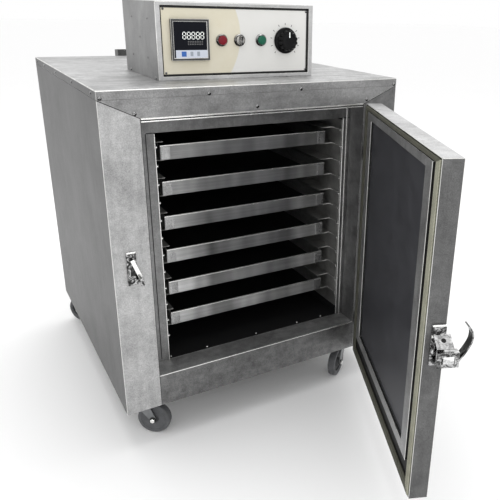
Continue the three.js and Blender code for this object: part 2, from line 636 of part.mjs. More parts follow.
function castors() {
  for (const { name, x, y, heading } of CASTORS) {
    const castor = new THREE.Group();
    castor.position.set(x, y, 0);
    castor.rotation.z = THREE.MathUtils.degToRad(heading);
    cabinet.add(castor);
    add(`${name}_castor_fork`, fork(), CAST, castor);
    add(`${name}_castor_wheel`, wheel(), RUBBER, castor);
  }
}

// ---------------------------------------------------------------- build
shell();
chamber();
exhaust();
doorLeaf();
hinge('upper', HINGE.upper);
hinge('lower', HINGE.lower);
add('latch_base', latchBase(), CHROME, door);
add('latch_lever', latchLever(), CHROME, door);
add('latch_keeper', latchKeeper(), CHROME);
controlConsole();
castors();

// The origin is on the floor under the middle of the whole object, door open.
dryer.updateMatrixWorld(true);
const bounds = new THREE.Box3().setFromObject(dryer);
cabinet.position.y = -(bounds.min.y + bounds.max.y) / 2;

export default dryer;
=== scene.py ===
"""Tray dryer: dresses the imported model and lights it."""
import json
import math

import bmesh
import bpy
from mathutils import Matrix, Vector


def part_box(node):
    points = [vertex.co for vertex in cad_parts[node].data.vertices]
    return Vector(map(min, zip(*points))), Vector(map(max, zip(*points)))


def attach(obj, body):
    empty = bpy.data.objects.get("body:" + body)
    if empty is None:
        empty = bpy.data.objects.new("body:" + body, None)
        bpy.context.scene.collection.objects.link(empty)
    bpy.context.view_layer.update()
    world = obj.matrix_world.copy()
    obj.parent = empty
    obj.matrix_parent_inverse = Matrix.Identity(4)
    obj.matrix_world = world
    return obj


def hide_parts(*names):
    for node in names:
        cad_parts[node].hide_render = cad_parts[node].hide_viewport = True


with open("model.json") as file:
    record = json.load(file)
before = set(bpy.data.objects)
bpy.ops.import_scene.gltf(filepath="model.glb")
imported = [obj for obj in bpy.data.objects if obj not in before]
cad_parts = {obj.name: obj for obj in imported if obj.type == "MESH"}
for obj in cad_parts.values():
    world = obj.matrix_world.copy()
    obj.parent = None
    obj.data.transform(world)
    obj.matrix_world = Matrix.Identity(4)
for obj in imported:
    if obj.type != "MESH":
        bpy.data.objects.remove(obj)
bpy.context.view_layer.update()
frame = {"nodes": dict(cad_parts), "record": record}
NODES = frame["nodes"]

# The cabinet's left front lower corner, in metres: every measure below is taken from it.
CORNER = Vector((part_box("lid")[0].x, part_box("lid")[0].y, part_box("left_side_panel")[0].z))


def at(x, y, z):
    """A place given in millimetres from the cabinet's left front lower corner."""
    return CORNER + Vector((x, y, z)) * 0.001


# The door's hinge line, and how far the door stands open.
HINGE = at(706.0, -20.0, 0.0)
OPEN_ANGLE = math.radians(67.0)


# ------------------------------------------------------------------ camera
CAMERA_AZIMUTH, CAMERA_ELEVATION, CAMERA_ROLL = 0.56729, 0.35962, 0.0325
CAMERA_PLACE = (-280.3, -1354.7, 1006.5)
CAMERA_LENS = 43.837
CAMERA_SHIFT = (-0.15, -0.035)


def place_camera():
    azimuth, elevation, roll = CAMERA_AZIMUTH, CAMERA_ELEVATION, CAMERA_ROLL
    forward = Vector((math.sin(azimuth) * math.cos(elevation),
                      math.cos(azimuth) * math.cos(elevation), -math.sin(elevation)))
    right = Vector((math.cos(azimuth), -math.sin(azimuth), 0.0))
    up = right.cross(forward)
    tilted_right = right * math.cos(roll) + up * math.sin(roll)
    tilted_up = up * math.cos(roll) - right * math.sin(roll)
    data = bpy.data.cameras.new("studio_camera")
    camera = bpy.data.objects.new("studio_camera", data)
    bpy.context.scene.collection.objects.link(camera)
    turn = Matrix((tilted_right, tilted_up, -forward)).transposed().to_4x4()
    camera.matrix_world = Matrix.Translation(at(*CAMERA_PLACE)) @ turn
    data.sensor_width = 36.0
    data.lens = CAMERA_LENS
    data.shift_x, data.shift_y = CAMERA_SHIFT
    data.clip_end = 50.0
    bpy.context.scene.camera = camera


place_camera()
bpy.context.scene.view_settings.view_transform = "Standard"


# ------------------------------------------------------------------ materials
class Finish:
    """A material whose nodes are added one call at a time."""

    def __init__(self, name, metallic=0.0, specular=0.5, coat=0.0):
        self.material = bpy.data.materials.new(name)
        self.material.use_nodes = True
        self.tree = self.material.node_tree
        self.shader = self.tree.nodes["Principled BSDF"]
        self.shader.inputs["Metallic"].default_value = metallic
        self.shader.inputs["Specular IOR Level"].default_value = specular
        self.shader.inputs["Coat Weight"].default_value = coat
        self.place = self.add("ShaderNodeTexCoord").outputs["Object"]
        self.normal = None

    def add(self, kind, **settings):
        node = self.tree.nodes.new(kind)
        for key, value in settings.items():
            setattr(node, key, value)
        return node

    def link(self, source, target):
        self.tree.links.new(source, target)

    def stretched(self, scale):
        """Object coordinates, stretched so that a pattern runs as streaks."""
        mapping = self.add("ShaderNodeMapping")
        self.link(self.place, mapping.inputs["Vector"])
        mapping.inputs["Scale"].default_value = scale
        return mapping.outputs["Vector"]

    def noise(self, scale, detail=4.0, rough=0.55, stretch=None, distortion=0.0):
        node = self.add("ShaderNodeTexNoise")
        self.link(self.stretched(stretch) if stretch else self.place, node.inputs["Vector"])
        node.inputs["Scale"].default_value = scale
        node.inputs["Detail"].default_value = detail
        node.inputs["Roughness"].default_value = rough
        node.inputs["Distortion"].default_value = distortion
        return node.outputs["Fac"]

    def ramp(self, value, stops):
        node = self.add("ShaderNodeValToRGB")
        self.link(value, node.inputs["Fac"])
        band = node.color_ramp
        while len(band.elements) < len(stops):
            band.elements.new(0.5)
        for element, (position, color) in zip(band.elements, stops):
            element.position = position
            level = (color,) * 3 if isinstance(color, float) else color
            element.color = (*level, 1.0)
        return node.outputs["Color"]

    def mix(self, kind, factor, first, second):
        node = self.add("ShaderNodeMix", data_type="RGBA", blend_type=kind)
        for socket, value in ((node.inputs["Factor"], factor), (node.inputs[6], first), (node.inputs[7], second)):
            if isinstance(value, (int, float)):
                socket.default_value = value
            elif isinstance(value, tuple):
                socket.default_value = (*value, 1.0)
            else:
                self.link(value, socket)
        return node.outputs[2]

    def maths(self, operation, first, second=0.0, third=0.0):
        node = self.add("ShaderNodeMath", operation=operation)
        for socket, value in zip(node.inputs, (first, second, third)):
            if isinstance(value, (int, float)):
                socket.default_value = value
            else:
                self.link(value, socket)
        return node.outputs[0]

    def bump(self, height, strength, distance):
        node = self.add("ShaderNodeBump")
        node.inputs["Strength"].default_value = strength
        node.inputs["Distance"].default_value = distance
        self.link(height, node.inputs["Height"])
        if self.normal:
            self.link(self.normal, node.inputs["Normal"])
        self.normal = node.outputs["Normal"]
        self.link(self.normal, self.shader.inputs["Normal"])

    def color(self, value):
        if isinstance(value, tuple):
            self.shader.inputs["Base Color"].default_value = (*value, 1.0)
        else:
            self.link(value, self.shader.inputs["Base Color"])

    def roughness(self, value, low=None, high=None):
        if low is None:
            self.shader.inputs["Roughness"].default_value = value
            return
        node = self.add("ShaderNodeMapRange")
        self.link(value, node.inputs["Value"])
        node.inputs["To Min"].default_value = low
        node.inputs["To Max"].default_value = high
        self.link(node.outputs["Result"], self.shader.inputs["Roughness"])


def sanded_steel(name, dark, light, brush=(1.0, 1.0, 1.0), streak=0.25, rough=(0.36, 0.56), stain=0.62, grain=0.5,
                 drawn=None):
    """Sanded stainless sheet: cloudy stains, fine speckle and a faint direction of brushing."""
    f = Finish(name, metallic=0.85)
    detail = 2.0 if drawn else 6.0
    clouds = f.noise(6.0, detail, 0.5 if drawn else 0.62, stretch=drawn, distortion=0.0 if drawn else 0.5)
    blotches = f.noise(38.0, detail, 0.72, stretch=drawn)
    speckle = f.noise(520.0, 3.0, 0.65)
    brushed = f.noise(60.0, 3.0, 0.6, stretch=brush)
    tone = f.ramp(clouds, [(0.3, dark), (0.7, light)])
    tone = f.mix("OVERLAY", stain, tone, f.ramp(blotches, [(0.28, 0.26), (0.72, 0.74)]))
    tone = f.mix("OVERLAY", grain, tone, f.ramp(speckle, [(0.3, 0.22), (0.7, 0.78)]))
    tone = f.mix("OVERLAY", streak, tone, f.ramp(brushed, [(0.3, 0.3), (0.7, 0.7)]))
    f.color(tone)
    f.roughness(blotches, *rough)
    f.bump(brushed, 0.08, 0.0006)
    f.bump(speckle, 0.08, 0.0004)
    return f.material


def plain(name, color, rough=0.5, metallic=0.0, grain=200.0, vary=0.2, coat=0.0, bump=0.05, specular=0.5):
    f = Finish(name, metallic=metallic, specular=specular, coat=coat)
    grains = f.noise(grain, 4.0, 0.6)
    dust = f.noise(18.0, 5.0, 0.65)
    shade = f.ramp(dust, [(0.3, 0.5 - vary), (0.7, 0.5 + vary)])
    f.color(f.mix("OVERLAY", 0.6, color, shade))
    f.roughness(dust, max(rough - 0.08, 0.03), rough + 0.08)
    f.bump(grains, bump, 0.0005)
    return f.material


UPRIGHT = (1.0, 1.0, 0.15)
# Painted light and shade: the sheet steels below are lit and shaded copies of one sanded steel, each toned for how
# light falls on its piece (bright left stile, darker side, header, sill and right stile, lighter tops).
PANEL = sanded_steel("sanded_side_steel_painted_shade", 0.09, 0.135, brush=UPRIGHT, stain=0.4)
STILE = sanded_steel("sanded_stile_steel_painted_light", 0.34, 0.50, brush=UPRIGHT, stain=0.35)
SHADED = sanded_steel("sanded_right_stile_steel_painted_shade", 0.12, 0.24, brush=UPRIGHT)
HEADER = sanded_steel("sanded_header_steel", 0.22, 0.34, brush=(0.2, 1.0, 1.0), stain=0.45)
SILL = sanded_steel("sanded_sill_steel", 0.12, 0.23, brush=(0.2, 1.0, 1.0), stain=0.75)
SEAT = sanded_steel("sanded_seat_steel", 0.15, 0.27, brush=UPRIGHT)
SEAT_TOP = sanded_steel("sanded_seat_top_steel_painted_light", 0.30, 0.50, brush=(0.2, 1.0, 1.0))
LID = sanded_steel("brushed_lid_steel_painted_light", 0.32, 0.54, brush=(0.05, 1.0, 1.0), streak=0.7, stain=0.5)
CONSOLE = sanded_steel("satin_console_steel", 0.22, 0.33, brush=(1.0, 1.0, 0.2), streak=0.15, stain=0.3, grain=0.25)
CONSOLE_LIP = sanded_steel("console_lip_steel_painted_light", 0.42, 0.62, brush=(0.2, 1.0, 1.0), streak=0.15, stain=0.3, grain=0.25)
DOOR_SKIN = sanded_steel("sanded_door_steel", 0.105, 0.155, brush=(1.0, 1.0, 0.12), stain=0.45)
DOOR_TOP = sanded_steel("sanded_door_top_steel_painted_light", 0.42, 0.62, brush=(0.2, 1.0, 1.0), stain=0.35)
TRIM = sanded_steel("door_trim_steel", 0.26, 0.42, brush=(1.0, 1.0, 0.05), stain=0.4)
TRIM_DARK = sanded_steel("door_trim_shaded_steel", 0.05, 0.10, brush=(1.0, 1.0, 0.05), stain=0.4)
# Partly painted reflection: the tray steel's clouds are stretched into broad light and dark bands across the front,
# standing in for reflections, over real fine brushing.
TRAY = sanded_steel("tray_steel_brushed_with_painted_reflection", 0.10, 0.62, brush=(0.05, 1.0, 2.4), streak=0.35, rough=(0.28, 0.31),
                    stain=0.03, grain=0.15, drawn=(1.7, 0.3, 0.25))
# Painted highlight: near-white metal for the thin bright lines on tray rims, the header return, the sill front, the
# seat edges and the latch and keeper.
RIM = plain("painted_highlight_rim", (0.95, 0.95, 0.93), 0.25, 0.9, vary=0.1, bump=0.01)
TRAY_TAB = sanded_steel("tray_tab_steel", 0.22, 0.50, brush=(1.0, 1.0, 0.04), streak=0.6, rough=(0.2, 0.36))
TRAY_FLOOR = plain("tray_floor_steel", (0.02, 0.02, 0.02), 0.45, 0.6)
# Painted highlight: bright steel given to bevelled edges, standing in for light caught on folded edges.
EDGE = plain("painted_highlight_edge", (0.72, 0.72, 0.70), 0.28, 0.9, vary=0.3, bump=0.02)
# Near-black for real dark joints, such as the header mitres, and for painted shadow in gaps, grooves, holes and the
# door's inner pan.
GAP_BLACK = plain("dark_seam_and_painted_shadow", (0.004, 0.004, 0.004), 0.7)
LINER = plain("black_liner_paint", (0.0022, 0.0022, 0.0028), 0.6)
RACK = plain("heat_dark_rack_steel", (0.36, 0.357, 0.345), 0.45, 0.8, grain=500.0, vary=0.3)
MIRROR = plain("dark_door_sheet", (0.062, 0.063, 0.071), 0.45, 0.5, grain=400.0, vary=0.18)
WOOL = plain("mineral_wool", (0.5, 0.42, 0.2), 0.95)
BRIGHT = plain("bright_rivet_metal", (0.90, 0.90, 0.88), 0.2, 0.9, vary=0.05, bump=0.01)
CAST = plain("zinc_plated_steel", (0.25, 0.25, 0.25), 0.42, 0.8)
FORK = plain("castor_fork_steel", (0.20, 0.205, 0.21), 0.38, 0.8)
BLACK = plain("black_moulding", (0.008, 0.008, 0.008), 0.45, specular=0.25)
KNOB = plain("glossy_black_knob", (0.003, 0.003, 0.0035), 0.14, vary=0.1, bump=0.01, specular=0.14)
BEZEL = plain("controller_bezel_grey", (0.07, 0.07, 0.07), 0.35, 0.4, specular=0.3)
SCREEN = plain("controller_screen_glass", (0.004, 0.005, 0.009), 0.30, vary=0.1, bump=0.0, specular=0.12)
KEY_WHITE = plain("key_strip_white", (0.62, 0.66, 0.75), 0.4, vary=0.05)
KEY_BLUE = plain("key_blue", (0.03, 0.13, 0.45), 0.4, vary=0.05)
KEY_GREY = plain("key_grey", (0.33, 0.37, 0.42), 0.4, vary=0.1)
DIM_WHITE = plain("dim_display_marks", (0.30, 0.30, 0.30), 0.5, vary=0.1)
INK = plain("dial_ink", (0.015, 0.015, 0.015), 0.6, vary=0.1)
RED = plain("red_moulding", (0.20, 0.004, 0.014), 0.3, vary=0.25, specular=0.3)
GREEN = plain("green_moulding", (0.004, 0.10, 0.055), 0.3, vary=0.25, specular=0.3)
SELECTOR = plain("selector_satin_metal", (0.45, 0.44, 0.42), 0.25, 0.9, vary=0.15)
RUBBER = plain("grey_rubber", (0.085, 0.087, 0.092), 0.72, vary=0.3, bump=0.2)
HUB = plain("dark_moulded_hub", (0.030, 0.031, 0.033), 0.5)


def chrome_with_painted_reflection():
    """Chrome with a painted reflection: the colour of its curved faces runs from black to white by which way each face
    points, as polished metal shows a lit room.
    """
    f = Finish("chrome_with_painted_reflection", metallic=1.0)
    facing = f.add("ShaderNodeSeparateXYZ")
    f.link(f.add("ShaderNodeTexCoord").outputs["Normal"], facing.inputs[0])
    painted_reflection = f.maths("MULTIPLY_ADD", facing.outputs["Z"], 0.36, 0.47)
    painted_reflection = f.maths("MULTIPLY_ADD", facing.outputs["X"], -0.07, painted_reflection)
    ripple = f.noise(60.0, 3.0, 0.6, distortion=1.5)
    painted_reflection = f.maths("MULTIPLY_ADD", ripple, 0.62, f.maths("SUBTRACT", painted_reflection, 0.31))
    f.color(f.ramp(painted_reflection, [(0.26, 0.005), (0.43, 0.03), (0.50, 0.16), (0.55, 0.55), (0.60, 0.08), (0.74, 0.40),
                           (0.90, 0.88)]))
    f.roughness(ripple, 0.10, 0.20)
    f.bump(f.noise(240.0), 0.02, 0.0003)
    return f.material


CHROME = chrome_with_painted_reflection()


def lit_white():
    f = Finish("display_digits")
    f.color(f.mix("MULTIPLY", 0.1, (0.9, 0.92, 0.9), f.ramp(f.noise(300.0), [(0.0, 0.7), (1.0, 1.0)])))
    f.roughness(0.4)
    f.shader.inputs["Emission Color"].default_value = (0.9, 0.95, 0.9, 1.0)
    f.shader.inputs["Emission Strength"].default_value = 0.8
    return f.material


def cream_face_with_painted_glare():
    """Cream enamel with a painted glare: whiter on the right, with a bowed edge between the two."""
    f = Finish("cream_enamel_with_painted_glare")
    axes = f.add("ShaderNodeSeparateXYZ")
    f.link(f.place, axes.inputs[0])
    rise = f.maths("SUBTRACT", axes.outputs["Z"], at(0, 0, 925).z)
    bow = f.maths("MULTIPLY", f.maths("MULTIPLY", rise, rise), -3.4)
    edge = f.maths("ADD", f.maths("SUBTRACT", axes.outputs["X"], at(391, 0, 0).x), f.maths("MULTIPLY", bow, -1.0))
    side = f.add("ShaderNodeMapRange")
    f.link(edge, side.inputs["Value"])
    side.inputs["From Min"].default_value = -0.0015
    side.inputs["From Max"].default_value = 0.0015
    dust = f.noise(14.0, 5.0, 0.6)
    cream = f.mix("OVERLAY", 0.5, (0.72, 0.675, 0.54), f.ramp(dust, [(0.3, 0.42), (0.7, 0.58)]))
    # Painted glare: the whiter tone right of the bowed edge.
    white = f.mix("OVERLAY", 0.5, (0.76, 0.755, 0.73), f.ramp(dust, [(0.3, 0.44), (0.7, 0.56)]))
    f.color(f.mix("MIX", side.outputs["Result"], cream, white))
    f.roughness(dust, 0.32, 0.5)
    f.bump(f.noise(260.0, 3.0), 0.04, 0.0003)
    return f.material


def woven_seal(name="woven_glass_seal", shade=1.0):
    """Woven glass-fibre seal: two slanting sets of strands that cross."""
    f = Finish(name, specular=0.2)
    turned = f.add("ShaderNodeMapping", vector_type="TEXTURE")
    f.link(f.place, turned.inputs["Vector"])
    turned.inputs["Location"].default_value = HINGE
    turned.inputs["Rotation"].default_value = (0.0, 0.0, OPEN_ANGLE)
    axes = f.add("ShaderNodeSeparateXYZ")
    f.link(turned.outputs["Vector"], axes.inputs[0])
    pitch = 2.0 * math.pi / 0.0052
    rise = f.maths("MULTIPLY", f.maths("ADD", axes.outputs["X"], axes.outputs["Z"]), pitch)
    fall = f.maths("MULTIPLY", f.maths("SUBTRACT", axes.outputs["X"], axes.outputs["Z"]), pitch)
    weave = f.maths("MULTIPLY", f.maths("SINE", rise), f.maths("SINE", fall))
    weave = f.maths("MULTIPLY_ADD", weave, 0.5, 0.5)
    grime = f.noise(22.0, 5.0, 0.65)
    strands = f.ramp(weave, [(0.1, (0.10 * shade, 0.10 * shade, 0.07 * shade)),
                             (0.5, (0.32 * shade, 0.32 * shade, 0.25 * shade)),
                             (0.9, (0.50 * shade, 0.49 * shade, 0.40 * shade))])
    f.color(f.mix("OVERLAY", 0.55, strands, f.ramp(grime, [(0.3, 0.3), (0.7, 0.62)])))
    f.roughness(0.92)
    f.bump(weave, 0.6, 0.0012)
    return f.material


LIT_WHITE = lit_white()
FACE = cream_face_with_painted_glare()
WEAVE = woven_seal()
# Painted shade: a darker copy of the woven seal.
WEAVE_DARK = woven_seal("woven_glass_seal_painted_shade", 0.3)

SLOTS = {"sanded_steel": PANEL, "tray_steel": TRAY, "black_liner": LINER, "rack_steel": RACK,
         "dark_inner_panel": MIRROR, "mineral_wool": WOOL, "woven_seal": WEAVE, "bright_chrome": CHROME,
         "grey_casting": CAST, "cream_enamel": FACE, "black_plastic": BLACK, "red_plastic": RED,
         "green_plastic": GREEN, "grey_rubber": RUBBER}


def finish(piece, material):
    piece.data.materials.clear()
    piece.data.materials.append(material)


for subpart in frame["record"]["subparts"]:
    finish(NODES[subpart["node"]], SLOTS[subpart["material_slot"]])
finish(NODES["lid"], LID)


# ------------------------------------------------------------------ modelling tools
def deselect():
    if bpy.context.object and bpy.context.object.mode != "OBJECT":
        bpy.ops.object.mode_set(mode="OBJECT")
    bpy.ops.object.select_all(action="DESELECT")


def work_on(piece):
    deselect()
    piece.select_set(True)
    bpy.context.view_layer.objects.active = piece


def settle(piece):
    """Puts a piece's place and turn into its mesh."""
    work_on(piece)
    bpy.ops.object.transform_apply(location=True, rotation=True, scale=True)
    return piece


def made(name, *materials):
    piece = bpy.context.object
    piece.name = name
    piece.data.name = name
    piece.data.materials.clear()
    for material in materials:
        piece.data.materials.append(material)
    return settle(piece)


def smooth(piece, degrees=35.0):
    work_on(piece)
    bpy.ops.object.shade_smooth_by_angle(angle=math.radians(degrees))
    return piece


def pick(piece, kind, test):
    """Opens edit mode with just the faces, edges or points that pass the test selected."""
    work_on(piece)
    bpy.ops.object.mode_set(mode="EDIT")
    bpy.ops.mesh.select_mode(type=kind)
    bpy.ops.mesh.select_all(action="DESELECT")
    mesh = bmesh.from_edit_mesh(piece.data)
    if kind == "FACE":
        for face in mesh.faces:
            face.select_set(test(face.calc_center_median(), face.normal))
    elif kind == "EDGE":
        for edge in mesh.edges:
            if len(edge.link_faces) == 2 and edge.calc_face_angle() > 0.5:
                ends = [vert.co for vert in edge.verts]
                edge.select_set(test((ends[0] + ends[1]) / 2, (ends[1] - ends[0]).normalized()))
    else:
        for vert in mesh.verts:
            vert.select_set(test(vert.co))
    mesh.select_flush_mode()
    bmesh.update_edit_mesh(piece.data)


def done():
    bpy.ops.object.mode_set(mode="OBJECT")


def round_edges(piece, width, segments=2, test=lambda middle, along: True, shade=-1):
    pick(piece, "EDGE", test)
    # With shade=1 the bevel faces take slot 1, which callers fill with a painted highlight material.
    bpy.ops.mesh.bevel(offset=width, segments=segments, affect="EDGES", clamp_overlap=True, material=shade)
    done()
    smooth(piece)
    even = piece.modifiers.new("even_normals", "WEIGHTED_NORMAL")
    even.keep_sharp = True
    even.weight = 80
    bpy.ops.object.modifier_apply(modifier=even.name)
    return piece


def block(name, low, high, *materials):
    deselect()
    bpy.ops.mesh.primitive_cube_add(size=1.0, location=(low + high) / 2, scale=high - low)
    return made(name, *materials)


def stack(name, centre, axis, rings, material, sides=32):
    """A turned piece: a disc drawn out ring by ring, each an (offset, radius) along the axis in mm."""
    deselect()
    bpy.ops.mesh.primitive_circle_add(vertices=sides, radius=rings[0][1] * 0.001, fill_type="NGON",
                                      location=(0.0, 0.0, rings[0][0] * 0.001))
    piece = bpy.context.object
    bpy.ops.object.mode_set(mode="EDIT")
    bpy.ops.mesh.select_all(action="SELECT")
    for (start, before), (offset, radius) in zip(rings, rings[1:]):
        step = (offset - start) * 0.001
        bpy.ops.mesh.extrude_region_move(TRANSFORM_OT_translate={"value": (0.0, 0.0, step)})
        bpy.ops.transform.resize(value=(radius / before, radius / before, 1.0),
                                 center_override=(0.0, 0.0, offset * 0.001))
    bpy.ops.mesh.select_all(action="SELECT")
    bpy.ops.mesh.normals_make_consistent(inside=False)
    bpy.ops.object.mode_set(mode="OBJECT")
    turned = Vector((0, 0, 1)).rotation_difference(Vector(axis)).to_matrix().to_4x4()
    piece.matrix_world = Matrix.Translation(centre) @ turned @ Matrix.Translation((0.0, 0.0, rings[0][0] * 0.001))
    return smooth(made(name, material))


def carried(name, node, *materials):
    """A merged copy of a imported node's mesh, to be rounded and dressed in its place."""
    piece = bpy.data.objects.new(name, NODES[node].data.copy())
    bpy.context.scene.collection.objects.link(piece)
    work_on(piece)
    bpy.ops.object.mode_set(mode="EDIT")
    bpy.ops.mesh.select_all(action="SELECT")
    bpy.ops.mesh.remove_doubles(threshold=0.00001)
    bpy.ops.mesh.dissolve_limited(angle_limit=0.02)
    bpy.ops.object.mode_set(mode="OBJECT")
    made(name, *materials)
    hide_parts(node)
    return piece


def copy_of(piece, name, matrix):
    twin = bpy.data.objects.new(name, piece.data.copy())
    bpy.context.scene.collection.objects.link(twin)
    twin.matrix_world = matrix
    return settle(twin)


def joined(name, *pieces):
    work_on(pieces[0])
    for piece in pieces:
        piece.select_set(True)
    bpy.ops.object.join()
    bpy.context.object.name = name
    bpy.context.object.data.name = name
    return bpy.context.object


def scattered(piece, name, places):
    """Repeats a small piece at each place, and joins the repeats into one."""
    twins = [copy_of(piece, name + "_part", Matrix.Translation(place)) for place in places]
    bpy.data.objects.remove(piece)
    return joined(name, *twins)


def flat_bar(x0, x1, z0, z1, front, back, look):
    """A thin bar between millimetre lines in x and z, and two depths in metres."""
    return block("bar", Vector((at(x0, 0, 0).x, front, at(0, 0, z0).z)),
                 Vector((at(x1, 0, 0).x, back, at(0, 0, z1).z)), look)


HANG = Matrix.Translation(HINGE) @ Matrix.Rotation(OPEN_ANGLE, 4, "Z") @ Matrix.Translation(-HINGE)


def hang(piece):
    """Swings a piece that was made on the closed door to where the door stands."""
    piece.matrix_world = HANG
    return settle(piece)


def shut(piece):
    """Brings a copy of a door node back to the closed door, to be worked on square."""
    piece.matrix_world = HANG.inverted()
    return settle(piece)


SCREW = [(0.0, 4.6), (0.7, 4.6), (1.7, 3.9), (2.3, 2.6), (2.5, 1.2)]


def screw(scale=1.0, axis=(0, -1, 0), name="screw"):
    return stack(name, (0, 0, 0), axis, [(o * scale, r * scale) for o, r in SCREW], CHROME, sides=16)


# ------------------------------------------------------------------ cabinet shell
def cabinet_shell():
    front, corner = at(0, 0.8, 0).y, at(0.8, 0, 0).x
    seat_x = at(672, 0, 0).x
    looks = {"left_side_panel": (PANEL, lambda middle, along: False),
             "right_side_panel": (PANEL, lambda middle, along: False),
             "left_stile": (STILE, lambda middle, along: (middle.x < corner and abs(along.z) > 0.9
                                                          and middle.y < front)),
             "right_stile": (SHADED, lambda middle, along: abs(along.z) > 0.9 and middle.y < front),
             "sill": (SILL, lambda middle, along: abs(along.x) > 0.9 and middle.z > at(0, 0, 60).z),
             "door_seat_frame": (SEAT, lambda middle, along: abs(along.z) > 0.9 and middle.x > seat_x),
             "back_panel": (PANEL, lambda middle, along: True),
             "exhaust_duct": (PANEL, lambda middle, along: True)}
    for node, (steel, lit) in looks.items():
        sheet = carried(node.replace("_panel", "_sheet") + "_folded", node, steel, EDGE, SEAT_TOP)
        # Painted light: up-facing faces of the sill and seat frame, and the seat frame's upper front faces, take the
        # lighter seat-top steel (slot 2).
        for face in sheet.data.polygons:
            upper = face.normal.y < -0.9 and face.center.z > at(0, 0, 690).z
            facing_up = face.normal.z > 0.9
            if (node == "sill" and facing_up) or (node == "door_seat_frame" and (facing_up or upper)):
                face.material_index = 2
        round_edges(sheet, 0.0005, 1, lambda middle, along: not lit(middle, along))
        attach(round_edges(sheet, 0.0011, 2, lit, shade=1), "cabinet")

    top = carried("lid_folded", "lid", LID, EDGE, HEADER, PANEL)
    # Painted light and shade: the lid's top keeps the lighter lid steel, its front faces take the header tone and its
    # end faces the darker side tone.
    for face in top.data.polygons:
        if face.normal.y < -0.9:
            face.material_index = 2
        elif abs(face.normal.x) > 0.9:
            face.material_index = 3
    crown = at(0, 0, 820).z - 0.0005
    round_edges(top, 0.0020, 3, lambda middle, along: middle.z > crown, shade=1)
    left = at(0.5, 0, 0).x
    round_edges(top, 0.0007, 1, lambda middle, along: middle.z < crown - 0.008 and middle.x < left, shade=1)
    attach(top, "cabinet")

    header = carried("header_folded", "header", HEADER, EDGE)
    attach(round_edges(header, 0.0012, 2, lambda middle, along: middle.z < at(0, 0, 799).z and abs(along.x) > 0.9
                        and middle.y < front, shade=1), "cabinet")

    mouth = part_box("header")[0].z
    # Painted highlight and shade: two near-white strips stand in for light caught on the header return's bead and lip,
    # and a black strip between them for the shade in its groove.
    strips = (("header_return_bead", 3.4, 0.1, 0.1, RIM), ("header_return_groove", 6.4, 3.4, 0.6, GAP_BLACK),
              ("header_return_lip", 9.0, 6.4, 0.2, RIM))
    for name, drop, rise, y, look in strips:
        strip = block(name, Vector((at(91, 0, 0).x, at(0, y, 0).y, mouth - drop * 0.001)),
                      Vector((at(693, 0, 0).x, at(0, y + 1.2, 0).y, mouth - rise * 0.001)), look)
        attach(round_edges(strip, 0.0004, 1), "cabinet")
    joints = []
    for x0, x1 in ((2.0, 90.0), (798.0, 694.0)):
        run, rise = x1 - x0, 756.0 - 799.0
        half = 0.0005 * math.hypot(run, rise)
        bar = block("bar", Vector((-half, -0.0003, -0.0007)), Vector((half, 0.0004, 0.0007)), GAP_BLACK)
        slope = Matrix.Rotation(-math.atan2(rise, run), 4, "Y")
        bar.matrix_world = Matrix.Translation(at((x0 + x1) / 2, 0, 777.5)) @ slope
        joints.append(settle(bar))
    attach(round_edges(joined("header_mitre_seams", *joints), 0.0002, 1), "cabinet")
    low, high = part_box("sill")
    # Painted highlight: a near-white strip along the sill's front top edge.
    fold = block("sill_folded_edge", Vector((low.x, low.y - 0.0004, high.z - 0.0022)),
                 Vector((high.x, low.y + 0.0016, high.z + 0.0003)), RIM)
    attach(round_edges(fold, 0.0008, 2), "cabinet")
    # Painted shadow: black lines down the stiles' inner edges, in the gap beside the recess.
    shadow_lines = [block("bar", at(x - 0.6, -0.3, 1), at(x + 0.6, 0.4, 755), GAP_BLACK) for x in (90, 694)]
    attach(round_edges(joined("stile_inner_painted_shadow_lines", *shadow_lines), 0.0002, 1), "cabinet")

    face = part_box("door_seat_frame")[0].y
    # Painted shadow: black lines along the seat frame's top and left edges, beside the stile and under the header.
    shadow_lines = [(118, 139, 707, 709), (116, 118, 96, 707), (673, 700, 707, 709)]
    bars = [flat_bar(*line, face - 0.0008, face - 0.0001, GAP_BLACK) for line in shadow_lines]
    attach(round_edges(joined("seat_painted_shadow_lines", *bars), 0.0002, 1), "cabinet")
    # Painted highlight: near-white lines down the seat frame's inner edges and the right jamb.
    lines = [(136.6, 138.6, 91, 706), (673.4, 675.4, 91, 706), (684, 687.5, 60, 740)]
    bars = [flat_bar(*line, face - 0.0010, face - 0.0001, RIM) for line in lines]
    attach(round_edges(joined("seat_painted_highlight_edges", *bars), 0.0003, 1), "cabinet")

    upper = [at(x, 0, 804) for x in (7.4, 253, 498, 792)]
    lower = [at(x, 0, 767) for x in (78, 376, 703)]
    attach(scattered(screw(), "header_screws", upper + lower), "cabinet")
    for name, x, outward in (("lid_flange_screws_left", 0, -1), ("lid_flange_screws_right", 800, 1)):
        side = [at(x, y, 810) for y in (47, 254, 472, 660, 790)]
        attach(scattered(screw(0.7, (outward, 0, 0)), name, side), "cabinet")
    rivets = [at(x, 83, 86.5) for x in (147, 252, 405, 543, 628)]
    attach(scattered(stack("rivet", (0, 0, 0), (0, 0, 1), [(0, 3.4), (0.8, 3.2), (1.8, 2.0), (2.1, 0.8)],
                            BRIGHT, 12), "chamber_floor_rivets", rivets), "cabinet")
    back = [at(x, 827, z) for x in (20, 210, 400, 590, 780) for z in (20, 780)]
    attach(scattered(screw(0.8, (0, 1, 0)), "back_sheet_screws", back), "cabinet")


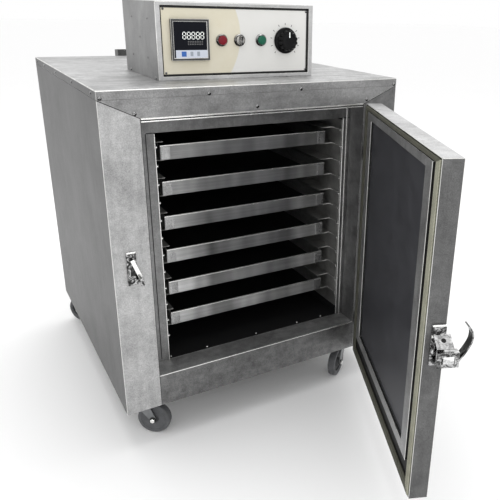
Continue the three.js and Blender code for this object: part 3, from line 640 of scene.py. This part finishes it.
# ------------------------------------------------------------------ racks and trays
def racks():
    for side, wall, sign in (("left", 133.0, 1.0), ("right", 679.0, -1.0)):
        rack = carried(side + "_rack_folded", side + "_runner_rack", RACK, EDGE)
        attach(round_edges(rack, 0.0005, 1, lambda middle, along: middle.y < at(0, 81, 0).y, shade=1), "cabinet")
        dots = [at(wall + sign * 8.6, 69.5, 161.0 + 46.5 * level) for level in range(12)]
        pin = stack("pin", (0, 0, 0), (0, -1, 0), [(-2, 2.6), (0.6, 2.6), (1.6, 1.9), (2.0, 0.8)], BRIGHT, 12)
        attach(scattered(pin, side + "_rack_rivets", dots), "cabinet")


def trays():
    for number in range(1, 7):
        low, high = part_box(f"tray_{number}")
        pan = block(f"tray_{number}_pan", low, high, TRAY, RIM, TRAY_FLOOR)
        pick(pan, "FACE", lambda centre, normal: normal.z > 0.9)
        bpy.ops.mesh.inset(thickness=0.004, depth=0.0)
        bpy.ops.mesh.extrude_region_move(TRANSFORM_OT_translate={"value": (0, 0, low.z - high.z + 0.002)})
        done()
        pick(pan, "FACE", lambda centre, normal: normal.z > 0.9 and centre.z > high.z - 0.0005)
        bpy.ops.mesh.inset(thickness=0.0006, depth=0.0006)
        done()
        round_edges(pan, 0.0005, 1, lambda middle, along: middle.z < high.z - 0.002)
        # Painted highlight: the bevel on the tray's top edge takes the near-white rim.
        round_edges(pan, 0.0012, 2, lambda middle, along: middle.z > high.z - 0.002, shade=1)
        for face in pan.data.polygons:
            if face.normal.z > 0.9 and face.center.z < low.z + 0.004:
                face.material_index = 2
        tabs = []
        for x in (low.x + 0.0135, high.x - 0.0135):
            tab = block("tab", Vector((x - 0.0115, low.y - 0.0007, low.z + 0.0015)),
                        Vector((x + 0.0115, low.y + 0.0004, high.z - 0.0025)), TRAY_TAB, EDGE)
            tabs.append(round_edges(tab, 0.0003, 1))
        # Painted highlight: a near-white rolled strip along each tray's front top edge.
        rolled = block("rolled", Vector((low.x, low.y - 0.0009, high.z - 0.0022)),
                       Vector((high.x, low.y + 0.0018, high.z + 0.0004)), RIM)
        tabs.append(round_edges(rolled, 0.0008, 2))
        fold = joined(f"tray_{number}_corner_tabs", *tabs)
        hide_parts(f"tray_{number}")
        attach(smooth(pan), f"tray_{number}")
        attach(fold, f"tray_{number}")


# ------------------------------------------------------------------ door
def door():
    outer = carried("door_skin", "door_outer_pan", DOOR_SKIN, EDGE, DOOR_TOP)
    # Painted light: the door's up-facing top faces take the lighter door-top steel.
    for face in outer.data.polygons:
        if face.normal.z > 0.9 and face.center.z > at(0, 0, 750).z:
            face.material_index = 2
    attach(round_edges(outer, 0.0010, 2, shade=1), "door")
    # Painted shade: the inner pan is near-black, standing in for the shadow between its edge and the gasket.
    inner = carried("door_inner_skin", "door_inner_pan", GAP_BLACK, EDGE)
    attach(round_edges(inner, 0.0004, 1), "door")

    seal = shut(carried("door_seal", "door_gasket", WEAVE, WEAVE_DARK))
    round_edges(seal, 0.0028, 4)
    # Painted shade: gasket faces beyond the free side (top, bottom and hinge runs) take the darker weave.
    free = at(116, 0, 0).x
    for face in seal.data.polygons:
        face.material_index = 0 if face.center.x < free else 1
    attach(hang(seal), "door")

    trim = shut(carried("door_trim", "door_trim_frame", TRIM, EDGE, TRIM_DARK, GAP_BLACK))
    round_edges(trim, 0.0010, 2, shade=1)
    top = at(0, 0, 726.5).z
    # Painted shade: the trim's side walls take near-black, and its top run's faces the shaded trim steel.
    for face in trim.data.polygons:
        if abs(face.normal.y) < 0.3 and face.area > 1e-4:
            face.material_index = 3
        elif face.normal.y > 0.9 and face.center.z > top and face.area > 1e-4:
            face.material_index = 2
    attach(hang(trim), "door")

    sheet = carried("door_inner_sheet_polished", "door_inner_panel", MIRROR)
    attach(round_edges(sheet, 0.0004, 1), "door")

    heads = [at(150, -2.2, z) for z in (92, 112)]
    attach(hang(scattered(screw(0.6, (0, 1, 0)), "trim_corner_screws", heads)), "door")
    for level, z in (("upper", 600), ("lower", 70)):
        leaf = carried(level + "_hinge_leaf_on_cabinet", level + "_hinge_frame_leaf", CAST)
        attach(round_edges(leaf, 0.0004, 2), "cabinet")
        spots = [at(x, -2.8, z + up) for x, up in ((730, 14), (730, 45), (730, 76))]
        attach(scattered(screw(0.9), level + "_hinge_screws", spots), "cabinet")
        sleeve = carried(level + "_hinge_leaf_on_door", level + "_hinge_door_leaf", CAST)
        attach(round_edges(sleeve, 0.0004, 2), "door")


# ------------------------------------------------------------------ latch and keeper
def latch():
    plate = carried("latch_plate", "latch_base", CHROME)
    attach(round_edges(plate, 0.0006, 2), "door")
    heads = [at(83.0, -31, z) for z in (348, 418)]
    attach(hang(scattered(screw(1.2, (-1, 0, 0)), "latch_plate_screws", heads)), "door")
    # Painted highlight: the latch's two rolls are near-white.
    rolls = [stack("roll", at(82.4, -16.5, z), (0, -1, 0), [(0, 1.6), (0.6, 2.6), (28.8, 2.6), (29.4, 1.6)], RIM, 16)
             for z in (429.5, 405.0)]
    roof = block("roof", Vector((-0.0170, -0.0175, -0.0009)), Vector((0.0170, 0.0175, 0.0009)), CHROME)
    round_edges(roof, 0.0007, 2)
    # Painted shade: a black disc stands in for the dark inside of the roof's hole.
    hole = stack("hole", (0.002, 0.0, 0.0008), (0, 0, 1), [(0, 5.0), (0.3, 5.0), (0.4, 4.0)], GAP_BLACK, 24)
    for part in (roof, hole):
        part.matrix_world = Matrix.Translation(at(69.0, -37.0, 401.5)) @ Matrix.Rotation(math.radians(-32.0), 4, "Y")
        settle(part)
    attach(hang(joined("latch_roof_and_rolls", *rolls, roof, hole)), "door")

    lever = carried("latch_pull", "latch_lever", CHROME)
    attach(round_edges(lever, 0.0008, 3), "latch_lever")

    keeper = carried("keeper_plate", "latch_keeper", CHROME)
    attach(round_edges(keeper, 0.0006, 2), "cabinet")
    heads = [at(43, -3.4, z) for z in (372, 436)]
    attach(scattered(screw(1.1), "keeper_screws", heads), "cabinet")
    # Painted highlight: the keeper's tongue and top roll are near-white.
    tongue = block("tongue", Vector((-0.0050, -0.0012, -0.0290)), Vector((0.0050, 0.0012, 0.0290)), RIM)
    tongue.matrix_world = Matrix.Translation(at(53.5, -7.5, 401)) @ Matrix.Rotation(math.radians(-20.0), 4, "Y")
    round_edges(settle(tongue), 0.0009, 2)
    top_roll = stack("roll", at(32, -3.0, 445), (1, 0, 0), [(0, 1.4), (0.6, 2.4), (21.5, 2.4), (22.0, 1.4)], RIM, 16)
    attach(joined("keeper_tongue_and_roll", tongue, top_roll), "cabinet")


# ------------------------------------------------------------------ console
PLATE_Y = 126.0
BUTTON_Z = 913.5


def thin_plate(name, x0, x1, z0, z1, y, thick, material, radius=0.0):
    plate = block(name, at(x0, y - thick, z0), at(x1, y, z1), material)
    if radius:
        round_edges(plate, radius * 0.001, 2, lambda middle, along: abs(along.y) > 0.9)
    return round_edges(plate, min(thick * 0.3, 0.4) * 0.001, 1)


def controller():
    x, z, half = 257.0, 914.5, 48.0
    front = PLATE_Y - 9.4
    bezel = block("controller_bezel", at(x - half, front, z - half), at(x + half, PLATE_Y - 0.4, z + half),
                  BEZEL, EDGE, SCREEN)
    pick(bezel, "FACE", lambda centre, normal: normal.y < -0.9)
    bpy.ops.mesh.inset(thickness=0.0058, depth=0.0)
    bpy.ops.mesh.extrude_region_move(TRANSFORM_OT_translate={"value": (0, 0.0014, 0)})
    bpy.context.object.active_material_index = 2
    bpy.ops.object.material_slot_assign()
    done()
    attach(round_edges(bezel, 0.0009, 2, shade=1), "cabinet")
    case = block("controller_case", at(x - 45, PLATE_Y - 0.6, z - 45), at(x + 45, PLATE_Y + 80, z + 45), BLACK)
    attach(round_edges(case, 0.002, 2), "cabinet")
    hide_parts("temperature_controller")

    glass = front + 1.3
    digits = []
    for place in range(5):
        middle, centre = 241.6 + place * 11.3, 924.5
        for up in (-7.8, 0.0, 7.8):
            digits.append(thin_plate("segment", middle - 2.5, middle + 2.5, centre + up - 0.55, centre + up + 0.55,
                                     glass, 0.25, LIT_WHITE))
        for across in (-3.8, 3.8):
            for up in (-3.9, 3.9):
                digits.append(thin_plate("segment", middle + across - 0.6, middle + across + 0.6, centre + up - 2.9,
                                         centre + up + 2.9, glass, 0.25, LIT_WHITE))
    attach(joined("controller_digits", *digits), "cabinet")
    marks = []
    for row in range(3):
        for place in range(9):
            left = 250.0 + place * 4.4
            marks.append(thin_plate("mark", left, left + 2.6, 903.5 + row * 3.6, 904.5 + row * 3.6, glass, 0.2,
                                    DIM_WHITE))
    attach(joined("controller_marks", *marks), "cabinet")
    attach(thin_plate("controller_key_strip", x - 38, x + 42, 873, 891, glass, 0.5, KEY_WHITE), "cabinet")
    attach(thin_plate("controller_blue_key", x - 24, x - 12, 876, 888, glass - 0.5, 0.3, KEY_BLUE, 0.8), "cabinet")
    keys = [thin_plate("key", x + dx, x + dx + 7, 877, 887.5, glass - 0.5, 0.3, KEY_GREY, 0.8) for dx in (-2, 15)]
    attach(joined("controller_keys", *keys), "cabinet")


def push_button(color, x):
    """The chrome ring, body and barrel of one control; its cap is made by the caller."""
    z = BUTTON_Z
    ring = stack(color + "_button_bezel", at(x, PLATE_Y - 0.4, z), (0, -1, 0),
                 [(0, 15), (2.5, 15), (5.4, 13.4), (6.0, 12.6), (6.0, 11.5), (1.0, 11.4), (1.0, 2.0)], CHROME, 40)
    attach(ring, "cabinet")
    body = block(color + "_button_body_block", at(x - 14, PLATE_Y + 12, z - 20), at(x + 14, PLATE_Y + 50, z + 20),
                 BLACK)
    round_edges(body, 0.0012, 2)
    barrel = stack("barrel", at(x, PLATE_Y, z), (0, 1, 0), [(0, 11.9), (9, 11.9), (9.2, 12.6), (12.5, 12.6)], CHROME)
    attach(body, "cabinet")
    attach(barrel, "cabinet")
    barrel.name = color + "_button_barrel"
    return z


def console():
    case = carried("console_folded", "console_case", CONSOLE, EDGE, CONSOLE_LIP)
    # Painted light: the case's forward-facing lip faces take the lighter lip steel.
    for face in case.data.polygons:
        if face.normal.y < -0.9 and face.center.y < at(0, 123, 0).y:
            face.material_index = 2
    lip = at(0, 124.5, 0).y
    round_edges(case, 0.0010, 2, lambda middle, along: middle.y < lip, shade=1)
    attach(case, "cabinet")
    # Painted shadow: black strips around the face plate stand in for the shadow gap between the case lip and the plate.
    lines = ((187.2, 189.8, 829.5, 991.5), (582.0, 587.8, 829.5, 991.5), (187.2, 587.8, 829.4, 834.6),
             (187.2, 587.8, 986.6, 991.8))
    bars = [block("bar", at(x0, PLATE_Y - 1.4, z0), at(x1, PLATE_Y - 0.1, z1), GAP_BLACK) for x0, x1, z0, z1 in lines]
    shadow_gap = joined("console_face_painted_shadow_gap", *bars)
    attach(round_edges(shadow_gap, 0.0003, 1), "cabinet")
    plate = carried("console_face", "console_face_plate", FACE)
    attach(round_edges(plate, 0.0004, 2, lambda middle, along: middle.y < at(0, 128, 0).y), "cabinet")
    corners = [at(x, PLATE_Y, z) for x in (195, 580.5) for z in (838, 984)]
    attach(scattered(screw(0.62), "console_face_screws", corners), "cabinet")
    low = [at(175, y, z) for y, z in ((143, 824.5), (358, 825.5))]
    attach(scattered(screw(0.7, (-1, 0, 0)), "console_foot_screws", low), "cabinet")
    controller()

    for color, x, material in (("red", 340.0, RED), ("green", 448.0, GREEN)):
        z = push_button(color, x)
        cap = stack(color + "_button_head", at(x, PLATE_Y, z), (0, -1, 0),
                    [(-3, 11), (9.5, 11), (11.0, 10.2), (11.8, 8.4), (12.0, 4.0)], material, 40)
        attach(cap, color + "_button_cap")
        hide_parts(color + "_button_cap")
    for color in ("red", "green"):
        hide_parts(color + "_button_body")

    z = push_button("selector", 388.0)
    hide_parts("selector_body")
    dial = stack("selector_dial", at(388, PLATE_Y, z), (0, -1, 0),
                 [(-3, 11), (7.4, 11), (8.6, 10.2), (9.0, 8.8)], SELECTOR, 40)
    wing = block("wing", at(384.9, PLATE_Y - 19.5, z - 10.6), at(391.1, PLATE_Y - 8.5, z + 10.6), CHROME)
    round_edges(wing, 0.0014, 3)
    pointer = block("pointer", at(387.4, PLATE_Y - 19.9, z + 2), at(388.6, PLATE_Y - 19.3, z + 9), BLACK)
    round_edges(pointer, 0.0002, 1)
    knob = joined("selector_knob", dial, wing, pointer)
    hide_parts("selector_switch")
    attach(knob, "selector_switch")
    regulator()


def regulator():
    centre = at(519, PLATE_Y, 912)
    skirt = stack("skirt", centre, (0, -1, 0), [(1.0, 32.6), (4.0, 33.0), (6.5, 32.0), (8.2, 29.5), (8.4, 12.0)],
                  KNOB, 72)
    grip = stack("grip", centre, (0, -1, 0), [(6.5, 27.0), (9.0, 26.8), (22.0, 25.6), (24.6, 24.4), (25.6, 22.4),
                                            (25.6, 17.0), (24.8, 15.8), (24.8, 6.0)], KNOB, 72)
    work_on(grip)
    axis_x, axis_z = centre.x, centre.z
    for vert in grip.data.vertices:
        away = Vector((vert.co.x - axis_x, vert.co.z - axis_z))
        if away.length > 0.0215 and vert.co.y < centre.y - 0.007:
            turn = math.atan2(away.y, away.x)
            flute = 0.5 + 0.5 * math.cos(turn * 12.0)
            away *= 1.0 - 0.17 * flute ** 2
            vert.co.x, vert.co.z = axis_x + away.x, axis_z + away.y
    # Partly painted highlight: a thin self-lit white mark on the knob, standing for both its pointer and the light its
    # face catches.
    pointer = block("pointer_line_painted_highlight", centre + Vector((-0.0009, -0.0262, 0.008)),
                    centre + Vector((0.0009, -0.0254, 0.0215)), LIT_WHITE)
    round_edges(pointer, 0.0002, 1)
    knob = joined("regulator_fluted_knob", skirt, smooth(grip), pointer)
    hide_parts("regulator_knob")
    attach(knob, "regulator_knob")
    ticks = []
    for step in range(11):
        turn = math.radians(-135.0 + 27.0 * step)
        tick = block("tick", Vector((-0.0007, -0.0002, 0.0385)), Vector((0.0007, 0.0, 0.0435)), INK)
        tick.matrix_world = Matrix.Translation(centre) @ Matrix.Rotation(turn, 4, "Y")
        ticks.append(settle(tick))
    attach(joined("regulator_dial_ticks", *ticks), "cabinet")


# ------------------------------------------------------------------ castors
CASTORS = (("front_left", 58, 69, -36), ("front_right", 690, 60, -144), ("rear_left", 58, 770, 127),
           ("rear_right", 690, 770, 60))
AXLE = (0.030, 0.0, -0.067)


def castors():
    for name, x, y, heading in CASTORS:
        place = Matrix.Translation(at(x, y, 0)) @ Matrix.Rotation(math.radians(heading), 4, "Z")
        fork = carried(name + "_fork", name + "_castor_fork", FORK, EDGE)
        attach(round_edges(fork, 0.0005, 2), name + "_castor_fork")
        nuts = []
        for sign in (-1, 1):
            washer = stack("washer", (AXLE[0], sign * 0.0172, AXLE[2]), (0, sign, 0),
                           [(0, 9.0), (1.2, 9.0), (1.5, 8.4), (1.5, 2.0)], BLACK, 24)
            nut = stack("nut", (AXLE[0], sign * 0.0184, AXLE[2]), (0, sign, 0),
                        [(0, 6.6), (4.2, 6.6), (5.0, 5.6), (5.0, 1.5)], BRIGHT, 6)
            nuts += [washer, nut]
        race = stack("race", (0, 0, 0), (0, 0, -1), [(12.6, 18), (13.2, 24), (16, 25.5), (18.6, 24), (19, 18), (19, 4)],
                     FORK, 40)
        rivet = stack("rivet", (0, 0, 0), (0, 0, -1), [(18.9, 7), (20.5, 7), (22.0, 5), (22.4, 2)], BRIGHT, 20)
        hardware = joined(name + "_axle_nuts", *nuts, race, rivet)
        hardware.matrix_world = place
        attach(settle(hardware), name + "_castor_fork")

        tyre = stack(name + "_tyre", AXLE, (0, 1, 0),
                     [(-9.6, 33), (-11.4, 35), (-11.6, 40), (-10.0, 43.2), (-6.0, 44.8), (0.0, 45.0), (6.0, 44.8),
                      (10.0, 43.2), (11.6, 40), (11.4, 35), (9.6, 33), (9.0, 30), (-9.0, 30)], RUBBER, 56)
        hub = stack(name + "_hub", AXLE, (0, 1, 0),
                    [(-8.8, 4.6), (-12.0, 4.8), (-12.0, 12), (-10.5, 13.5), (-6.0, 16), (-5.5, 29), (-9.0, 30.5),
                     (-9.0, 32.0), (9.0, 32.0), (9.0, 30.5), (5.5, 29), (6.0, 16), (10.5, 13.5), (12.0, 12),
                     (12.0, 4.8), (8.8, 4.6)], HUB, 48)
        for part in (tyre, hub):
            part.matrix_world = place
            settle(part)
        wheel = joined(name + "_wheel", tyre, hub)
        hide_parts(name + "_castor_wheel")
        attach(wheel, name + "_castor_wheel")


cabinet_shell()
racks()
trays()
door()
latch()
console()
castors()


# ------------------------------------------------------------------ floor and light
def studio():
    bpy.ops.mesh.primitive_plane_add(size=60.0, location=(0.0, 2.0, -0.001))
    floor = bpy.context.object
    floor.name = "studio_floor"
    f = Finish("pale_floor", specular=0.1)
    f.color(f.ramp(f.noise(1.5), [(0.0, 0.98), (1.0, 0.99)]))
    f.roughness(0.9)
    finish(floor, f.material)

    world = bpy.data.worlds.new("studio_world")
    bpy.context.scene.world = world
    world.use_nodes = True
    background = world.node_tree.nodes["Background"]
    background.inputs["Color"].default_value = (1.0, 1.0, 1.0, 1.0)
    background.inputs["Strength"].default_value = 1.0

    def softbox(name, place, target, size, power):
        light = bpy.data.lights.new(name, "AREA")
        light.shape = "RECTANGLE"
        light.size, light.size_y = size
        light.energy = power
        lamp = bpy.data.objects.new(name, light)
        bpy.context.scene.collection.objects.link(lamp)
        lamp.location = place
        lamp.rotation_euler = (Vector(target) - Vector(place)).to_track_quat("-Z", "Y").to_euler()

    softbox("front_softbox", (-0.6, -3.4, 2.2), (0.0, 0.0, 0.6), (2.0, 1.6), 14.0)
    softbox("top_softbox", (0.2, 0.4, 3.4), (0.0, 0.2, 0.9), (2.4, 2.4), 45.0)


studio()
